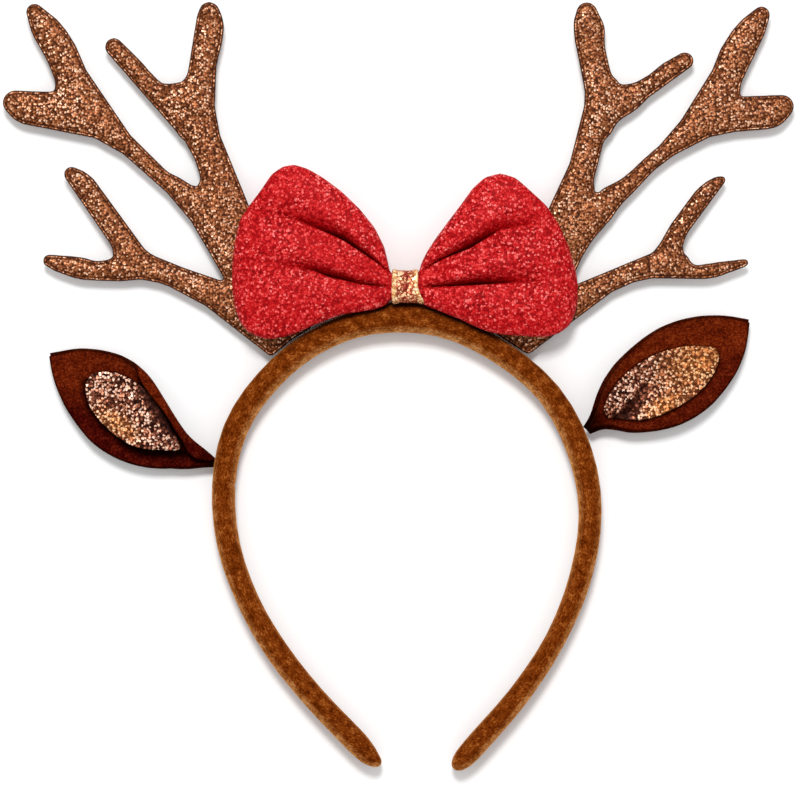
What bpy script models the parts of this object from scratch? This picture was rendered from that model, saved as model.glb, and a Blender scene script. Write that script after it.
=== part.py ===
"""A reindeer antler headband, lying on its back.

A padded hoop wrapped in brown velour carries two flat glitter antlers, a red padded bow
with a gold wrap round its waist, and two brown felt ears, each with a glitter patch.
X runs to the viewer's right, Y up to the antlers and Z from the surface it lies on to the
viewer. Every size below is in millimetres.
"""

import math

import bmesh
import bpy
import numpy as np
from mathutils import Vector
from mathutils.geometry import delaunay_2d_cdt

MM = 0.001
GAP = 0.3
CREASE_ANGLE = 40.0
ANTLER_ROOT_GAP = 0.55

# The hoop's centre line, from the left tip over the crown to the right tip, and its width there
BAND_DEPTH = 12.0
BAND_SIDES = 16
BAND_SQUARENESS = 2.5
BAND_STEPS = 3
BAND_TIP_ROUND = 1.4
BAND_TIP_TURNS = (25, 50, 75)
BAND = (
    # x, y, width
    (-8.4, -135.2, 4.0),
    (-11.0, -133.0, 6.8),
    (-13.8, -130.0, 8.1),
    (-17.2, -126.3, 8.6),
    (-31.2, -111.6, 8.4),
    (-44.1, -95.4, 8.6),
    (-54.4, -77.6, 8.2),
    (-61.7, -57.0, 8.4),
    (-63.5, -35.5, 8.5),
    (-59.3, -15.4, 9.0),
    (-48.0, 1.8, 9.1),
    (-31.6, 15.6, 9.2),
    (-10.7, 23.6, 9.6),
    (14.1, 22.9, 9.6),
    (35.8, 12.7, 8.8),
    (53.8, -2.6, 8.8),
    (64.6, -23.0, 9.1),
    (68.5, -45.0, 8.4),
    (65.0, -68.4, 8.2),
    (56.1, -90.6, 7.5),
    (43.2, -110.5, 7.9),
    (28.8, -127.2, 8.2),
    (25.0, -131.6, 7.9),
    (22.5, -134.3, 6.9),
    (21.1, -136.0, 4.8),
)
BAND_WIDEST = max(width for _, _, width in BAND)

# Each antler is a tree of tapering branches: the centre line of each, and its width there
ANTLER_MIDDLE = 5.5
ANTLER_EDGE = 1.6
ANTLER_THICK = 3.5
ANTLER_SLOPE = 1.7
ANTLER_FILLET = 2.0
ANTLER_GRID = 1.3
ANTLER_STEPS = 4
ANTLER_OUTLINES = (
    # in from the edge, half the thickness there, turns smaller than this (degrees) are left out
    (0.0, ANTLER_EDGE / 2, 7.0),
    (ANTLER_SLOPE, ANTLER_THICK / 2, 10.0),
)
MERGE = 0.02
LEFT_ANTLER = {
    # x, y, width
    "beam": (
        (-36.4, 17.6, 13.4),
        (-45.5, 32.0, 13.0),
        (-54.5, 49.0, 12.5),
        (-61.5, 65.5, 12.0),
        (-66.8, 78.0, 12.0),
        (-69.6, 87.0, 11.3),
        (-71.6, 98.0, 10.6),
        (-71.9, 107.0, 10.3),
        (-71.1, 116.0, 10.2),
        (-69.7, 124.2, 10.9),
        (-69.0, 131.0, 9.6),
        (-68.8, 135.0, 7.4),
    ),
    "arm": (
        (-50.0, 30.0, 11.0),
        (-58.2, 41.5, 11.0),
        (-65.0, 53.3, 11.0),
        (-71.3, 63.0, 10.5),
        (-79.2, 70.6, 8.2),
        (-85.1, 75.0, 5.9),
        (-90.6, 80.1, 5.8),
        (-97.8, 86.5, 6.7),
        (-104.8, 92.8, 10.4),
        (-112.0, 102.0, 12.2),
        (-118.4, 111.6, 12.0),
        (-122.3, 121.0, 11.8),
        (-127.3, 128.6, 10.8),
        (-131.6, 135.0, 6.2),
    ),
    "low_outer": (
        (-138.6, 102.3, 9.0),
        (-134.0, 100.4, 12.2),
        (-126.0, 99.7, 13.4),
        (-117.0, 97.7, 13.0),
        (-108.0, 95.0, 11.0),
    ),
    "inner": (
        (-103.0, 122.4, 6.6),
        (-99.2, 118.3, 7.8),
        (-93.8, 112.1, 8.2),
        (-87.5, 107.0, 9.8),
        (-81.0, 102.3, 14.0),
        (-75.0, 95.5, 13.5),
    ),
    "branch": (
        (-38.8, 13.0, 12.4),
        (-46.0, 18.5, 13.0),
        (-55.5, 26.5, 12.5),
        (-66.0, 33.0, 11.0),
        (-75.3, 37.1, 8.9),
        (-84.0, 40.9, 8.4),
        (-93.0, 42.8, 8.4),
        (-101.0, 42.0, 8.2),
        (-108.0, 41.9, 8.0),
        (-115.1, 42.5, 7.6),
        (-121.6, 44.1, 6.7),
        (-126.2, 45.4, 4.9),
    ),
    "lobe": (
        (-118.3, 76.6, 5.6),
        (-114.5, 73.1, 8.4),
        (-109.4, 67.0, 8.8),
        (-104.4, 59.8, 8.3),
        (-100.2, 53.2, 8.8),
        (-95.0, 46.5, 9.0),
        (-88.0, 42.5, 7.0),
    ),
}
RIGHT_ANTLER = {
    # x, y, width
    "beam": (
        (36.0, 17.0, 14.0),
        (46.0, 33.0, 13.0),
        (54.4, 49.5, 12.5),
        (60.6, 65.5, 11.5),
        (65.1, 76.6, 10.4),
        (67.8, 86.3, 9.8),
        (70.6, 96.0, 10.4),
        (71.8, 104.0, 10.6),
        (71.2, 110.5, 10.4),
        (69.7, 117.0, 9.7),
        (68.3, 123.2, 10.2),
        (67.5, 130.3, 9.4),
        (67.2, 135.0, 7.2),
    ),
    "arm": (
        (49.0, 28.0, 11.0),
        (56.0, 39.0, 11.0),
        (61.0, 49.5, 10.8),
        (67.6, 60.3, 10.3),
        (73.6, 66.8, 9.2),
        (79.5, 71.4, 7.6),
        (86.2, 76.9, 5.9),
        (91.1, 81.2, 5.6),
        (95.9, 85.2, 6.2),
        (100.6, 89.1, 8.4),
        (105.7, 93.4, 10.6),
        (112.0, 101.5, 12.0),
        (117.4, 111.2, 11.6),
        (120.8, 119.2, 12.0),
        (125.6, 127.1, 11.0),
        (130.2, 134.0, 6.2),
    ),
    "low_outer": (
        (137.7, 101.0, 8.4),
        (133.2, 99.0, 12.0),
        (126.0, 98.6, 12.5),
        (118.0, 97.4, 12.0),
        (109.0, 94.5, 10.0),
    ),
    "inner": (
        (102.6, 117.4, 6.4),
        (97.2, 113.8, 7.5),
        (91.8, 109.8, 6.8),
        (86.1, 106.2, 7.7),
        (79.5, 102.0, 12.0),
        (73.5, 95.0, 11.5),
    ),
    "branch": (
        (38.0, 13.0, 13.0),
        (46.5, 19.5, 12.0),
        (55.0, 25.8, 11.5),
        (63.5, 31.5, 10.0),
        (71.0, 35.3, 8.0),
        (75.3, 37.5, 7.0),
        (82.7, 40.9, 7.2),
        (90.0, 43.2, 7.8),
        (97.0, 42.7, 7.4),
        (104.4, 42.1, 6.8),
        (111.6, 41.8, 5.7),
        (118.1, 43.2, 4.9),
        (124.2, 44.7, 3.0),
    ),
    "lobe": (
        (116.0, 74.6, 3.0),
        (113.6, 73.0, 5.0),
        (110.1, 69.4, 7.0),
        (105.4, 63.6, 7.4),
        (100.6, 57.1, 7.0),
        (97.2, 50.0, 8.0),
        (92.5, 44.5, 8.0),
        (86.0, 42.0, 6.0),
    ),
}

# Each ear is one leaf of felt, cupped along its middle. Below and above are the reaches of its
# two sides that show from the front, and the rises are how high those sides stand over the
# middle. The upper edge is rolled back over the cup, most of all on the left ear.
EAR_FELT = 2.0
EAR_UNDERSIDE = 2.6
EAR_SLANT_LENGTH = 12.0
EAR_BEND = 0.55
EAR_BEND_RISE = 0.32
EAR_UPPER_BEND = 0.45
EAR_UPPER_BEND_RISE = 0.2
EAR_FLAT_RIM = (0.82, 0.62)
EAR_ROLLED_RIM = (1.0, 0.55)
EAR_FULL_ROLL = 2.0
PATCH_THICK = 1.0
PATCH_COLUMNS = 8
LEFT_EAR = {
    "base": (-66.95, -27.2),
    "tip": (-126.2, 11.6),
    "slant": 0.5,
    "rows": (
        # along, below, above, rise_below, rise_above, roll, roll_height, middle
        (0.4, 2.1, 2.1, 1.5, 1.7, 0.6, 2.2, 1.0),
        (4.0, 4.2, 2.4, 2.0, 2.2, 1.8, 4.2, 0.7),
        (8.0, 7.3, 2.5, 2.6, 2.6, 3.4, 5.2, 0.4),
        (14.0, 11.9, 3.4, 3.0, 3.2, 2.3, 5.8, 0.1),
        (21.0, 15.7, 6.2, 3.2, 3.6, 2.1, 6.0, 0.0),
        (28.0, 17.8, 9.7, 3.2, 3.8, 2.5, 6.0, 0.0),
        (35.0, 18.5, 12.9, 3.2, 4.0, 2.4, 5.8, 0.0),
        (42.0, 18.0, 14.4, 3.1, 3.8, 1.2, 4.6, 0.0),
        (49.0, 15.7, 14.2, 2.8, 3.3, 0.4, 3.4, 0.2),
        (56.0, 12.7, 11.8, 2.1, 2.4, 0.2, 2.5, 0.5),
        (63.0, 8.1, 8.0, 1.2, 1.4, 0.1, 1.5, 1.0),
        (67.5, 4.2, 3.7, 0.5, 0.5, 0.1, 0.6, 1.5),
        (70.2, 0.9, 0.9, 0.1, 0.1, 0.1, 0.2, 1.9),
    ),
    "patch": (
        # along, lowest, highest
        (13.6, -3.3, -1.9),
        (15.0, -4.8, -1.0),
        (18.5, -6.6, 1.4),
        (23.0, -9.4, 3.6),
        (28.0, -11.3, 5.8),
        (33.5, -11.4, 8.0),
        (38.0, -10.9, 8.8),
        (43.0, -9.9, 8.6),
        (48.0, -7.9, 7.6),
        (51.8, -4.8, 5.2),
        (54.0, -1.6, 2.4),
    ),
}
RIGHT_EAR = {
    "base": (67.7, -15.4),
    "tip": (125.6, 23.6),
    "slant": -0.25,
    "rows": (
        # along, below, above, rise_below, rise_above, roll, roll_height, middle
        (0.4, 1.8, 2.0, 1.6, 1.8, 0.3, 2.6, 1.0),
        (4.0, 2.4, 3.7, 2.0, 3.0, 0.4, 4.4, 0.8),
        (7.0, 4.4, 6.0, 3.0, 4.0, 0.5, 5.2, 0.5),
        (10.4, 8.0, 9.2, 3.8, 4.7, 0.5, 5.6, 0.3),
        (14.0, 10.8, 11.6, 4.2, 5.0, 0.4, 5.6, 0.1),
        (21.0, 14.6, 14.4, 4.3, 4.8, 0.3, 5.2, 0.0),
        (28.0, 17.1, 15.7, 4.2, 4.5, 0.2, 4.8, 0.0),
        (35.0, 18.0, 16.4, 4.0, 4.2, 0.2, 4.4, 0.0),
        (42.0, 17.6, 16.2, 3.7, 3.8, 0.2, 4.0, 0.0),
        (49.0, 15.7, 14.6, 3.1, 3.2, 0.2, 3.4, 0.2),
        (56.0, 12.9, 11.7, 2.3, 2.3, 0.2, 2.5, 0.5),
        (62.5, 8.6, 7.6, 1.3, 1.3, 0.1, 1.4, 1.0),
        (66.6, 4.4, 4.0, 0.5, 0.5, 0.1, 0.6, 1.5),
        (69.4, 0.9, 0.9, 0.1, 0.1, 0.1, 0.2, 1.9),
    ),
    "patch": (
        # along, lowest, highest
        (8.8, -0.6, 2.0),
        (10.5, -2.2, 4.6),
        (14.0, -5.4, 6.8),
        (18.0, -8.3, 8.4),
        (23.0, -10.2, 9.4),
        (28.0, -11.1, 9.9),
        (33.5, -11.7, 9.5),
        (39.0, -11.6, 8.2),
        (45.0, -10.3, 5.8),
        (50.0, -7.9, 2.6),
        (53.0, -5.4, 0.0),
        (54.3, -3.5, -1.8),
    ),
}

# The bow is a padded strip, gathered into its waist: its lowest and highest edge, and its thickness
BOW_BACK = 7.6
BOW_FRONT_POINTS = 19
BOW_BACK_POINTS = 9
BOW_FULLNESS = 0.62
BOW_OVER_BAND = 0.8
WAIST_CENTRE = (36.0, 11.4)
WAIST_HALF = (4.6, 3.6)
WAIST_SIDE = 0.3
WAIST_SQUARENESS = 0.6
BOW_LEFT = (
    # x, lowest, highest, thick
    (-60.4, 36.0, 44.0, 3.1),
    (-59.7, 29.5, 51.0, 4.8),
    (-57.6, 22.9, 60.0, 7.0),
    (-54.4, 19.2, 65.0, 8.4),
    (-50.2, 17.3, 70.4, 9.6),
    (-46.0, 16.9, 76.6, 10.3),
    (-42.0, 17.4, 79.3, 10.8),
    (-37.8, 18.8, 79.9, 11.2),
    (-33.0, 20.9, 78.4, 11.5),
    (-27.5, 23.2, 75.2, 11.7),
    (-21.0, 25.7, 70.3, 11.4),
    (-14.4, 26.7, 64.0, 10.6),
    (-9.0, 27.6, 57.2, 9.6),
    (-5.6, 28.8, 50.4, 8.4),
    (-4.1, 30.2, 44.0, 7.8),
)
BOW_RIGHT = (
    # x, lowest, highest, thick
    (7.4, 29.9, 44.0, 7.8),
    (9.4, 28.8, 48.2, 8.4),
    (12.5, 27.6, 53.0, 9.6),
    (16.6, 26.0, 58.6, 10.6),
    (21.6, 24.0, 65.2, 11.3),
    (26.0, 21.8, 71.4, 11.5),
    (30.5, 19.8, 75.4, 11.5),
    (36.0, 18.5, 76.8, 11.4),
    (41.5, 18.2, 75.2, 11.0),
    (47.0, 17.7, 70.4, 10.5),
    (52.6, 17.7, 65.2, 9.8),
    (57.2, 18.9, 58.2, 8.4),
    (60.8, 21.6, 50.0, 6.9),
    (63.0, 26.2, 42.6, 4.7),
    (64.0, 31.0, 37.4, 3.0),
)
FOLD_HALF = 1.5
FOLD_SPREAD = 0.05
FOLD_START = 0.12
FOLD_FADE = 0.7
BOW_FOLDS = (
    # x at the waist, y there, x where it fades, y there, bow (rise of its middle), depth
    (-4.0, 39.2, -52.0, 60.5, 2.6, 4.4),
    (-4.0, 35.4, -49.0, 42.6, -0.6, 3.6),
    (7.4, 39.8, 54.0, 57.4, 0.4, 4.2),
    (7.4, 35.4, 54.0, 37.0, -0.2, 3.6),
)

# The gold wrap is a short sleeve round the waist
KNOT_LEFT = -3.2
KNOT_RIGHT = 6.5
KNOT_WALL = 1.0
KNOT_POINTS = 24

COLOURS = {
    # name: red, green, blue, roughness, metallic
    "velour": (0.25, 0.075, 0.012, 0.95, 0.0),
    "copper_glitter": (0.36, 0.16, 0.09, 0.45, 0.5),
    "felt": (0.11, 0.022, 0.008, 0.98, 0.0),
    "red_glitter": (0.62, 0.012, 0.025, 0.5, 0.2),
    "gold_glitter": (0.80, 0.47, 0.20, 0.35, 0.7),
}


def clear_scene():
    for obj in list(bpy.data.objects):
        bpy.data.objects.remove(obj, do_unlink=True)


def material(name):
    red, green, blue, roughness, metallic = COLOURS[name]
    found = bpy.data.materials.get(name)
    if found is None:
        found = bpy.data.materials.new(name)
        found.use_nodes = True
        shader = found.node_tree.nodes["Principled BSDF"]
        shader.inputs["Base Color"].default_value = (red, green, blue, 1.0)
        shader.inputs["Roughness"].default_value = roughness
        shader.inputs["Metallic"].default_value = metallic
    return found


def finish_piece(name, mesh_data, finish):
    """Turns a bmesh in millimetres into a named object in metres, shaded smooth between its creases."""
    bmesh.ops.recalc_face_normals(mesh_data, faces=mesh_data.faces[:])
    bmesh.ops.scale(mesh_data, vec=(MM, MM, MM), verts=mesh_data.verts[:])
    mesh = bpy.data.meshes.new(name)
    mesh_data.to_mesh(mesh)
    mesh_data.free()
    mesh.shade_smooth()
    mesh.set_sharp_from_angle(angle=math.radians(CREASE_ANGLE))
    mesh.materials.append(material(finish))
    piece = bpy.data.objects.new(name, mesh)
    bpy.context.scene.collection.objects.link(piece)
    return piece


def smooth_path(rows, steps):
    """A smooth curve through every row, all its columns at once."""
    rows = np.array(rows, float)
    before = np.vstack([2 * rows[0] - rows[1], rows[:-1]])[:-1]
    after = np.vstack([rows[1:], 2 * rows[-1] - rows[-2]])[1:]
    points = []
    for one, start, end, other in zip(before, rows[:-1], rows[1:], after):
        for step in range(steps):
            t = step / steps
            points.append(
                0.5
                * (
                    2 * start
                    + (end - one) * t
                    + (2 * one - 5 * start + 4 * end - other) * t**2
                    + (3 * start - one - 3 * end + other) * t**3
                )
            )
    points.append(rows[-1])
    return np.array(points)


def column_at(rows, column, value):
    """The given column, read between the rows where the first column has this value."""
    rows = np.array(rows, float)
    return float(np.interp(value, rows[:, 0], rows[:, column]))


def loft(rings):
    """A closed body through rings of as many points each, with its two ends filled."""
    body = bmesh.new()
    rows = [[body.verts.new(point) for point in ring] for ring in rings]
    count = len(rows[0])
    for row, following in zip(rows, rows[1:]):
        for index in range(count):
            after = (index + 1) % count
            body.faces.new((row[index], row[after], following[after], following[index]))
    body.faces.new(rows[0])
    body.faces.new(rows[-1])
    return body


def edge_distance(x, y, rows):
    """How far each point lies outside one tapering branch, negative inside it."""
    path = smooth_path(rows, ANTLER_STEPS)
    nearest = np.full(np.shape(x), np.inf)
    for (ax, ay, a_width), (bx, by, b_width) in zip(path, path[1:]):
        dx, dy = bx - ax, by - ay
        along = np.clip(((x - ax) * dx + (y - ay) * dy) / (dx * dx + dy * dy), 0.0, 1.0)
        away = np.hypot(x - ax - along * dx, y - ay - along * dy)
        nearest = np.minimum(nearest, away - (a_width + along * (b_width - a_width)) / 2.0)
    return nearest


# The hoop: a thick soft roll, flattened along its underside, with rounded tips
def band_section(width):
    """The roll's outline across its length, as pairs of a distance sideways and a height."""
    points = []
    for index in range(BAND_SIDES):
        angle = 2 * math.pi * (index + 0.5) / BAND_SIDES
        cosine, sine = math.cos(angle), math.sin(angle)
        across = math.copysign(abs(cosine) ** (2 / BAND_SQUARENESS), cosine) * width / 2
        up = math.copysign(abs(sine) ** (2 / BAND_SQUARENESS), sine) * BAND_DEPTH / 2
        points.append((across, up))
    lowest = min(up for _, up in points)
    return [(across, (up / -lowest + 1) * BAND_DEPTH / 2) for across, up in points]


def build_band():
    path = smooth_path(BAND, BAND_STEPS)
    centres = [Vector((x, y, 0.0)) for x, y, _ in path]
    stations = []
    for index, (centre, width) in enumerate(zip(centres, path[:, 2])):
        before = centres[max(index - 1, 0)]
        after = centres[min(index + 1, len(centres) - 1)]
        stations.append((centre, (after - before).normalized(), width, 1.0))
    left_tip, right_tip = stations[0], stations[-1]
    for turn in BAND_TIP_TURNS:
        reach = BAND_TIP_ROUND * math.sin(math.radians(turn))
        shrink = math.cos(math.radians(turn))
        centre, tangent, width, _ = left_tip
        stations.insert(0, (centre - tangent * reach, tangent, width, shrink))
        centre, tangent, width, _ = right_tip
        stations.append((centre + tangent * reach, tangent, width, shrink))
    middle = BAND_DEPTH / 2
    rings = []
    for centre, tangent, width, shrink in stations:
        sideways = Vector((tangent.y, -tangent.x, 0.0))
        ring = []
        for across, up in band_section(width):
            lift = Vector((0.0, 0.0, middle + (up - middle) * shrink))
            ring.append(centre + sideways * across * shrink + lift)
        rings.append(ring)
    return finish_piece("band", loft(rings), "velour")


def band_top(x, y):
    """The height of the hoop's upper face over a point, or 0 where the hoop doesn't reach."""
    path = smooth_path(BAND, BAND_STEPS)
    away = float(np.min(np.hypot(path[:, 0] - x, path[:, 1] - y)))
    half = BAND_WIDEST / 2 + BOW_OVER_BAND
    if away >= half:
        return 0.0
    curve = (1 - (away / half) ** BAND_SQUARENESS) ** (1 / BAND_SQUARENESS)
    return BAND_DEPTH / 2 * (1 + curve) + BOW_OVER_BAND


# The antlers: two layers welded round the edge, thin there and thicker inside
def antler_distance(branches, x, y):
    """How far each point lies outside the whole antler, whose crotches are filleted, clear of the hoop."""
    whole = None
    for rows in branches.values():
        one = edge_distance(x, y, rows)
        if whole is None:
            whole = one
            continue
        share = np.clip(0.5 + 0.5 * (one - whole) / ANTLER_FILLET, 0.0, 1.0)
        whole = one + (whole - one) * share - ANTLER_FILLET * share * (1 - share)
    return np.maximum(whole, ANTLER_ROOT_GAP - edge_distance(x, y, BAND))


def contour(branches, depth, corner):
    """Closed outlines of the antler, drawn in from its edge by depth, with only the points that turn."""
    points = np.array([row for rows in branches.values() for row in rows])
    low = points[:, :2].min(axis=0) - points[:, 2].max()
    high = points[:, :2].max(axis=0) + points[:, 2].max()
    cells = np.ceil((high - low) / ANTLER_GRID).astype(int)
    sheet = bmesh.new()
    bmesh.ops.create_grid(sheet, x_segments=int(cells[0]), y_segments=int(cells[1]), size=0.5)
    flat = np.array([vertex.co[:2] for vertex in sheet.verts])
    places = low + (flat + 0.5) * (high - low)
    heights = antler_distance(branches, places[:, 0], places[:, 1]) + depth
    for vertex, (x, y), height in zip(sheet.verts, places, heights):
        vertex.co = (x, y, height)
    everything = sheet.verts[:] + sheet.edges[:] + sheet.faces[:]
    bmesh.ops.bisect_plane(
        sheet, geom=everything, plane_co=(0, 0, 0), plane_no=(0, 0, 1), clear_outer=True
    )
    for vertex in sheet.verts:
        vertex.co.z = 0.0
    bmesh.ops.remove_doubles(sheet, verts=sheet.verts[:], dist=MERGE)
    bmesh.ops.dissolve_faces(sheet, faces=sheet.faces[:])
    bmesh.ops.dissolve_limit(
        sheet, angle_limit=math.radians(corner), verts=sheet.verts[:], edges=sheet.edges[:]
    )
    outlines = [[Vector(vertex.co[:2]) for vertex in face.verts] for face in sheet.faces]
    sheet.free()
    return outlines


def build_antler(name, branches):
    points, edges, heights = [], [], []
    for depth, height, corner in ANTLER_OUTLINES:
        for outline in contour(branches, depth, corner):
            first = len(points)
            count = len(outline)
            points += outline
            heights += [height] * count
            edges += [(first + index, first + (index + 1) % count) for index in range(count)]
    places, _, faces, origins, _, _ = delaunay_2d_cdt(points, edges, [], 1, 1e-4)
    body = bmesh.new()
    corners = []
    for place, origin in zip(places, origins):
        height = heights[origin[0]] if origin else ANTLER_THICK / 2
        corners.append(body.verts.new((place.x, place.y, ANTLER_MIDDLE + height)))
    front = [body.faces.new([corners[index] for index in face]) for face in faces]
    made = bmesh.ops.extrude_face_region(body, geom=front)
    for item in made["geom"]:
        if isinstance(item, bmesh.types.BMVert):
            item.co.z = 2 * ANTLER_MIDDLE - item.co.z
    return finish_piece(name, body, "copper_glitter")


# The ears: a felt leaf, cupped along its middle and pinched together where it meets the hoop
def cut_corners(line):
    """One round of corner cutting on an open line of places, whose two ends stay."""
    ahead, behind = line[:-1] * 0.75 + line[1:] * 0.25, line[:-1] * 0.25 + line[1:] * 0.75
    between = np.stack([ahead, behind], axis=1).reshape(-1, 2)
    return np.vstack([line[:1], between, line[-1:]])


def ear_section(ear, along):
    """The middle of the felt across the ear, as pairs of a distance sideways and a height."""
    below, above, rise_below, rise_above, roll, roll_height, middle = (
        column_at(ear["rows"], column, along) for column in range(1, 8)
    )
    steepness = rise_below * (1.0 - EAR_BEND_RISE) / (below * (1.0 - EAR_BEND))
    below -= EAR_FELT / 2 * math.sin(math.atan(steepness))
    rolled = min(roll / EAR_FULL_ROLL, 1.0)
    rim = [flat + (turned - flat) * rolled for flat, turned in zip(EAR_FLAT_RIM, EAR_ROLLED_RIM)]
    line = np.array(
        (
            (-below, rise_below),
            (-EAR_BEND * below, EAR_BEND_RISE * rise_below),
            (0.0, 0.0),
            (EAR_UPPER_BEND * above, EAR_UPPER_BEND_RISE * rise_above),
            (rim[0] * above, rim[1] * rise_above),
            (above, roll_height),
            (above - roll, roll_height),
        )
    )
    line = cut_corners(line)
    steepness = (roll_height - rim[1] * rise_above) / (above * (1.0 - rim[0]) + MERGE)
    outermost = above - EAR_FELT / 2 * math.sin(math.atan(steepness))
    line[:, 0] = np.where(line[:, 0] > 0.0, line[:, 0] * outermost / line[:, 0].max(), line[:, 0])
    line[:, 1] += EAR_UNDERSIDE + EAR_FELT / 2 + middle
    return line


def lifted(line, lift):
    """The line moved off itself by lift, towards the hollow of the cup."""
    ahead = np.gradient(line, axis=0)
    ahead /= np.linalg.norm(ahead, axis=1)[:, None]
    return line + lift * np.stack([-ahead[:, 1], ahead[:, 0]], axis=1)


def ear_places(ear, along, line):
    """The points of a line across the ear, at this distance along it, in their place."""
    base, tip = Vector(ear["base"]), Vector(ear["tip"])
    forward = (tip - base).normalized()
    upward = Vector((-forward.y, forward.x))
    if upward.y < 0:
        upward = -upward
    slant = ear["slant"] * max(0.0, 1.0 - along / EAR_SLANT_LENGTH)
    points = []
    for sideways, height in line:
        spot = base + forward * (along + slant * sideways) + upward * sideways
        points.append(Vector((spot.x, spot.y, height)))
    return points


def sheet_between(lower_rows, upper_rows):
    """A closed body between two grids of points, one over the other."""
    body = bmesh.new()
    lower = [[body.verts.new(point) for point in row] for row in lower_rows]
    upper = [[body.verts.new(point) for point in row] for row in upper_rows]
    last_row, last_column = len(lower) - 1, len(lower[0]) - 1
    for grid in (lower, upper):
        for row in range(last_row):
            for column in range(last_column):
                corners = [grid[row][column], grid[row][column + 1]]
                corners += [grid[row + 1][column + 1], grid[row + 1][column]]
                body.faces.new(corners)
    for row in range(last_row):
        for column in (0, last_column):
            body.faces.new(
                (lower[row][column], lower[row + 1][column], upper[row + 1][column], upper[row][column])
            )
    for column in range(last_column):
        for row in (0, last_row):
            body.faces.new(
                (lower[row][column], lower[row][column + 1], upper[row][column + 1], upper[row][column])
            )
    return body


def build_ear(name, ear):
    lower, upper = [], []
    for along, *_ in ear["rows"]:
        line = ear_section(ear, along)
        lower.append(ear_places(ear, along, lifted(line, -EAR_FELT / 2)))
        upper.append(ear_places(ear, along, lifted(line, EAR_FELT / 2)))
    return finish_piece(name, sheet_between(lower, upper), "felt")


def build_patch(name, ear):
    lower, upper = [], []
    below = EAR_FELT / 2 + GAP
    for along, lowest, highest in ear["patch"]:
        felt = ear_section(ear, along)
        felt = felt[: np.argmax(felt[:, 0]) + 1]
        sideways = np.linspace(lowest, highest, PATCH_COLUMNS + 1)
        line = np.stack([sideways, np.interp(sideways, felt[:, 0], felt[:, 1])], axis=1)
        lower.append(ear_places(ear, along, lifted(line, below)))
        upper.append(ear_places(ear, along, lifted(line, below + PATCH_THICK)))
    return finish_piece(name, sheet_between(lower, upper), "copper_glitter")


# The bow: two padded loops with two deep folds each, running out of the gathered waist
def fold_depth(x, y):
    """How far the folds press the front of the bow in at a point."""
    deepest = 0.0
    for start_x, start_y, end_x, end_y, rise, depth in BOW_FOLDS:
        along = (x - start_x) / (end_x - start_x)
        if not 0.0 <= along <= 1.0:
            continue
        middle = start_y + (end_y - start_y) * along + rise * math.sin(math.pi * along)
        half = FOLD_HALF + FOLD_SPREAD * abs(x - start_x)
        fade = min(1.0, along / FOLD_START) * (1.0 - along) ** FOLD_FADE
        deepest = max(deepest, depth * fade * math.exp(-(((y - middle) / half) ** 2)))
    return deepest


def bow_section(x, lowest, highest, thick):
    middle, half = (lowest + highest) / 2, (highest - lowest) / 2
    ring = []
    for index in range(BOW_FRONT_POINTS + BOW_BACK_POINTS):
        if index < BOW_FRONT_POINTS:
            angle = math.pi * index / BOW_FRONT_POINTS
        else:
            angle = math.pi * (1 + (index - BOW_FRONT_POINTS) / BOW_BACK_POINTS)
        y = middle + half * math.cos(angle)
        swell = math.copysign(abs(math.sin(angle)) ** BOW_FULLNESS, math.sin(angle))
        z = BOW_BACK + thick / 2 * (1 + swell)
        if swell > 0:
            z -= fold_depth(x, y) * swell
        ring.append(Vector((x, y, max(z, band_top(x, y)))))
    return ring


def waist_ring(x, half_y, half_z, count):
    centre_y, centre_z = WAIST_CENTRE
    ring = []
    for index in range(count):
        angle = 2 * math.pi * index / count
        cosine, sine = math.cos(angle), math.sin(angle)
        y = centre_y + half_y * math.copysign(abs(cosine) ** WAIST_SQUARENESS, cosine)
        z = centre_z + half_z * math.copysign(abs(sine) ** WAIST_SQUARENESS, sine)
        ring.append(Vector((x, y, z)))
    return ring


def build_bow():
    count = BOW_FRONT_POINTS + BOW_BACK_POINTS
    rings = [bow_section(*row) for row in BOW_LEFT]
    rings += [
        waist_ring(x, *WAIST_HALF, count) for x in (KNOT_LEFT - WAIST_SIDE, KNOT_RIGHT + WAIST_SIDE)
    ]
    rings += [bow_section(*row) for row in BOW_RIGHT]
    return finish_piece("bow", loft(rings), "red_glitter")


def build_knot():
    body = bmesh.new()
    inner = [half + GAP for half in WAIST_HALF]
    outer = [half + KNOT_WALL for half in inner]
    order = ((KNOT_LEFT, outer), (KNOT_RIGHT, outer), (KNOT_RIGHT, inner), (KNOT_LEFT, inner))
    rings = []
    for x, half in order:
        rings.append([body.verts.new(point) for point in waist_ring(x, *half, KNOT_POINTS)])
    for index, ring in enumerate(rings):
        following = rings[(index + 1) % len(rings)]
        for point in range(KNOT_POINTS):
            after = (point + 1) % KNOT_POINTS
            body.faces.new((ring[point], ring[after], following[after], following[point]))
    return finish_piece("bow_knot", body, "gold_glitter")


def centre_over_origin(pieces):
    """Slides the whole headband until the middle of its outline lies over the origin."""
    corners = np.array([vertex.co[:] for piece in pieces for vertex in piece.data.vertices])
    middle = (corners.min(axis=0) + corners.max(axis=0)) / 2
    for piece in pieces:
        for vertex in piece.data.vertices:
            vertex.co.x -= middle[0]
            vertex.co.y -= middle[1]


clear_scene()
headband = [build_band()]
for side, branches, ear in (("left", LEFT_ANTLER, LEFT_EAR), ("right", RIGHT_ANTLER, RIGHT_EAR)):
    headband.append(build_antler("antler_" + side, branches))
    headband.append(build_ear("ear_" + side, ear))
    headband.append(build_patch("ear_patch_" + side, ear))
headband.append(build_bow())
headband.append(build_knot())
centre_over_origin(headband)
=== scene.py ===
import math

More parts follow.
